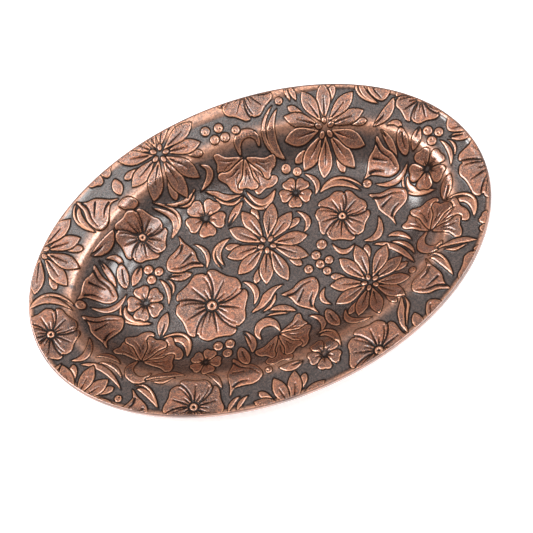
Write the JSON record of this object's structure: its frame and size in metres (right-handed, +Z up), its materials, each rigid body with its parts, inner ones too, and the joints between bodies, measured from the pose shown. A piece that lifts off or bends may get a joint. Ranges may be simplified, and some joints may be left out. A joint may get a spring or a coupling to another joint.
{
  "type": "oval tray",
  "caption": "Small oval copper dish pressed from one sheet, with a flat floor, sloping wall, broad rim and all-over floral relief.",
  "frame": {"origin": "centre of the flat underside, on the surface that the tray stands on", "axes": "+Z up, out of the well; +X along the long axis of the oval; +Y across it"},
  "size_m": [0.102, 0.068, 0.0088],
  "materials": {
    "copper": "antiqued solid copper: polished raised flowers and edges, dark grey-brown oxide left in the recessed ground and in the engraved lines, plain brushed underside"
  },
  "bodies": {
    "root": {"tray": "copper"}
  },
  "joints": []
}
